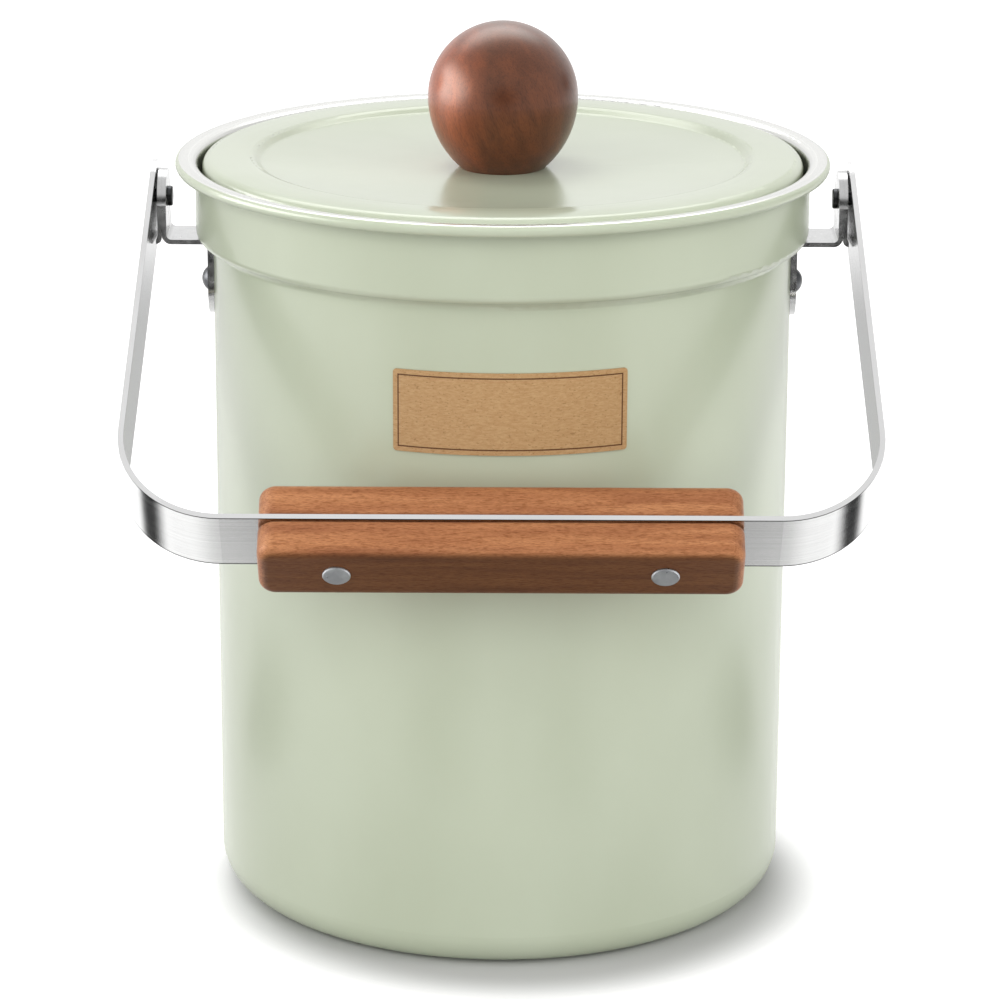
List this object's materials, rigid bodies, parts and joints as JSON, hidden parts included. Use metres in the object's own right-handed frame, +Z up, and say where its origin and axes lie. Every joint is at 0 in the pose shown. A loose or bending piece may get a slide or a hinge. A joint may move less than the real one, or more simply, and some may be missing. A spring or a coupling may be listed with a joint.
{
  "type": "compost bin",
  "caption": "Round countertop compost bin with a rolled rim, a drop-in lid with a ball knob and charcoal filter, and a flat swinging bail with a wooden grip.",
  "frame": {"origin": "centre of the base, on the surface that the bin stands on", "axes": "+Z up along the bin's axis, -Y towards the label and the side where the bail hangs at rest, +X to the right seen from that side"},
  "size_m": [0.218, 0.2153, 0.2677],
  "materials": {
    "painted_steel": "smooth sage green enamel paint, satin",
    "bare_steel": "bare stainless steel, satin",
    "polished_steel": "polished stainless strip",
    "dark_steel": "blackened steel",
    "aluminium": "satin",
    "beech": "oiled steamed beech",
    "kraft_label": "matt kraft paper",
    "silicone": "translucent white silicone",
    "grey_plastic": "moulded polypropylene",
    "charcoal_felt": "charcoal foam",
    "brass": "turned"
  },
  "bodies": {
    "bin": {"bin_shell": "painted_steel", "front_label": "kraft_label", "left_bracket": "polished_steel", "right_bracket": "polished_steel", "left_bracket_rivet": "dark_steel", "right_bracket_rivet": "dark_steel", "left_rivet_washer": "bare_steel", "right_rivet_washer": "bare_steel", "left_spacer_strap": "polished_steel", "right_spacer_strap": "polished_steel"},
    "bail": {"bail_strip": "polished_steel", "left_pivot_rivet": "dark_steel", "right_pivot_rivet": "dark_steel", "grip_inner_half": "beech", "grip_outer_half": "beech", "grip_left_rivet": "aluminium", "grip_right_rivet": "aluminium"},
    "lid": {"lid_cover": "painted_steel", "lid_seal": "silicone", "filter_holder": "grey_plastic", "filter_pad": "charcoal_felt", "knob_ball": "beech", "knob_insert": "brass", "knob_screw": "bare_steel", "knob_washer": "bare_steel"}
  },
  "joints": [
    {"name": "bail_swing", "type": "hinge", "parent": "bin", "child": "bail", "pos_m": [0, 0, 0.2143], "axis": [-1, 0, 0], "range_deg": [0, 253]},
    {"name": "lid_lift", "type": "slide", "parent": "bin", "child": "lid", "axis": [0, 0, 1], "range_m": [0, 0.05]}
  ]
}
